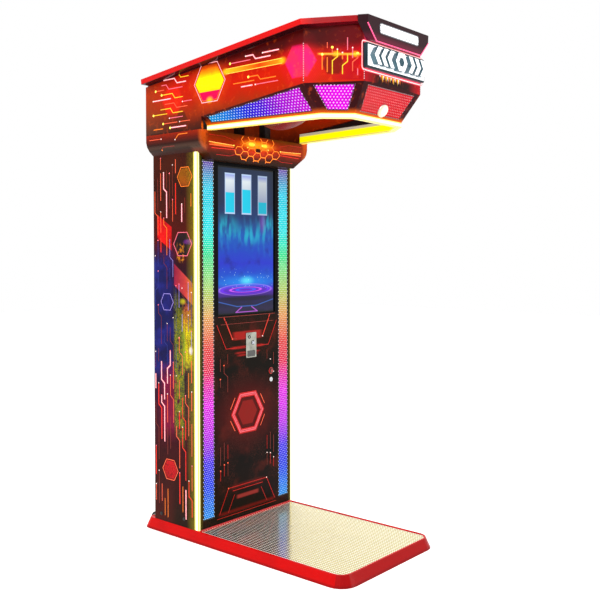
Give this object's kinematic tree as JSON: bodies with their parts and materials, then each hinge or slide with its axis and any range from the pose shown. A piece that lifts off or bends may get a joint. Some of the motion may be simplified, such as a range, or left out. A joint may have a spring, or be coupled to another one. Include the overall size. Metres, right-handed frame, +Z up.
{
  "type": "boxing punch machine",
  "caption": "Arcade boxing punch machine: tread platform, column with screen and coin door, and an overhanging lit head that stows a punch ball on a swing arm.",
  "frame": {"origin": "on the floor, under the middle of the column's front face", "axes": "+Z up, -Y towards the player, +X to the right of someone looking along +Y at the column"},
  "size_m": [0.808, 1.2621, 2.2528],
  "materials": {
    "red_paint": "gloss powder coat",
    "red_trim": "gloss moulded trim",
    "maroon_trim": "gloss moulded trim",
    "head_panel": "gloss printed film",
    "cabinet_panel": "board faced with gloss printed film",
    "black_panel": "board faced with gloss black film",
    "platform_board": "sealed plywood",
    "tread_aluminium": "pressed tread pattern",
    "steel": "zinc plated",
    "steel_tube": "black painted square tube",
    "cast_bearing": "painted casting",
    "black_rubber": "matt",
    "black_plastic": "fine texture",
    "red_plastic": "gloss",
    "screen_glass": "toughened cover glass",
    "led_mesh": "perforated panel over colour lamps",
    "light_diffuser": "milky diffuser",
    "sign_white": "lit acrylic",
    "sign_teal": "gloss",
    "chrome": "polished",
    "red_leather": "grained boxing leather",
    "circuit_board": "lacquered"
  },
  "bodies": {
    "cabinet": {"base_skirt": "red_paint", "base_core": "platform_board", "tread_plate": "tread_aluminium", "side_panel_left": "cabinet_panel", "side_panel_right": "cabinet_panel", "corner_light_left": "light_diffuser", "corner_light_right": "light_diffuser", "front_fascia": "black_panel", "mesh_strip_left": "led_mesh", "mesh_strip_right": "led_mesh", "screen_cover": "screen_glass", "monitor": "black_plastic", "rear_panel": "black_panel", "fan_body": "black_plastic", "power_inlet": "black_plastic", "cash_box": "steel", "power_supply": "steel", "game_board": "circuit_board", "collar": "head_panel", "head_shell": "head_panel", "roof_panel": "maroon_trim", "top_rail": "red_trim", "rim_light": "light_diffuser", "rim_frame": "steel", "visor": "maroon_trim", "visor_light": "light_diffuser", "sign_plate": "sign_teal", "sign_emblem": "sign_white", "mesh_side_left": "led_mesh", "mesh_side_right": "led_mesh", "mesh_corner_left": "led_mesh", "mesh_corner_right": "led_mesh", "mesh_front": "led_mesh", "front_lamp": "light_diffuser", "head_frame": "steel_tube", "bearing_block_left": "cast_bearing", "bearing_block_right": "cast_bearing", "bump_stop": "black_rubber", "latch_coil": "steel", "levelling_foot_1": "black_rubber", "levelling_foot_2": "black_rubber", "levelling_foot_3": "black_rubber", "levelling_foot_4": "black_rubber"},
    "wheel_left": {"transport_wheel_left": "black_rubber"},
    "wheel_right": {"transport_wheel_right": "black_rubber"},
    "service_door": {"service_door": "black_panel", "coin_plate": "chrome", "coin_validator": "black_plastic", "start_button_housing": "red_plastic"},
    "door_lock": {"door_lock": "chrome"},
    "coin_return_flap": {"coin_return_flap": "black_plastic"},
    "coin_return_button": {"coin_return_button": "light_diffuser"},
    "start_button": {"start_button": "black_plastic"},
    "rear_door": {"rear_door": "black_panel"},
    "rear_door_lock": {"rear_door_lock": "chrome"},
    "fan_rotor": {"fan_rotor": "black_plastic"},
    "power_switch": {"power_switch": "red_plastic"},
    "ball_arm": {"swing_arm": "steel", "punch_ball": "red_leather"},
    "latch_plunger": {"latch_plunger": "chrome"}
  },
  "joints": [
    {"name": "wheel_left_spin", "type": "hinge", "parent": "cabinet", "child": "wheel_left", "pos_m": [-0.27, 0.352, 0.031], "axis": [1, 0, 0], "continuous": true},
    {"name": "wheel_right_spin", "type": "hinge", "parent": "cabinet", "child": "wheel_right", "pos_m": [0.27, 0.352, 0.031], "axis": [1, 0, 0], "continuous": true},
    {"name": "service_door_hinge", "type": "hinge", "parent": "cabinet", "child": "service_door", "pos_m": [-0.2075, 0, 0.691], "axis": [0, 0, -1], "range_deg": [0, 110]},
    {"name": "door_lock_turn", "type": "hinge", "parent": "service_door", "child": "door_lock", "pos_m": [0.165, 0, 0.691], "axis": [0, -1, 0], "range_deg": [0, 90]},
    {"name": "coin_return_flap_hinge", "type": "hinge", "parent": "service_door", "child": "coin_return_flap", "pos_m": [0.0215, -0.0017, 0.8452], "axis": [1, 0, 0], "range_deg": [0, 60]},
    {"name": "coin_return_press", "type": "slide", "parent": "service_door", "child": "coin_return_button", "axis": [0, 1, 0], "range_m": [0, 0.004], "stiffness_N_per_m": 250},
    {"name": "start_press", "type": "slide", "parent": "service_door", "child": "start_button", "axis": [0, 1, 0], "range_m": [0, 0.004], "stiffness_N_per_m": 400},
    {"name": "rear_door_hinge", "type": "hinge", "parent": "cabinet", "child": "rear_door", "pos_m": [-0.2, 0.308, 0.9], "axis": [0, 0, 1], "range_deg": [0, 110]},
    {"name": "rear_door_lock_turn", "type": "hinge", "parent": "rear_door", "child": "rear_door_lock", "pos_m": [0.17, 0.308, 0.9], "axis": [0, -1, 0], "range_deg": [0, 90]},
    {"name": "fan_spin", "type": "hinge", "parent": "cabinet", "child": "fan_rotor", "pos_m": [0, 0.28795, 1.55], "axis": [0, 1, 0], "continuous": true},
    {"name": "power_switch_rock", "type": "hinge", "parent": "cabinet", "child": "power_switch", "pos_m": [0.24, 0.309, 0.202], "axis": [1, 0, 0], "range_deg": [0, 20]},
    {"name": "ball_swing", "type": "hinge", "parent": "cabinet", "child": "ball_arm", "pos_m": [0, -0.62, 2.04], "axis": [-1, 0, 0], "range_deg": [0, 84.6]},
    {"name": "latch_travel", "type": "slide", "parent": "cabinet", "child": "latch_plunger", "axis": [-1, 0, 0], "range_m": [0, 0.012], "stiffness_N_per_m": 300}
  ]
}
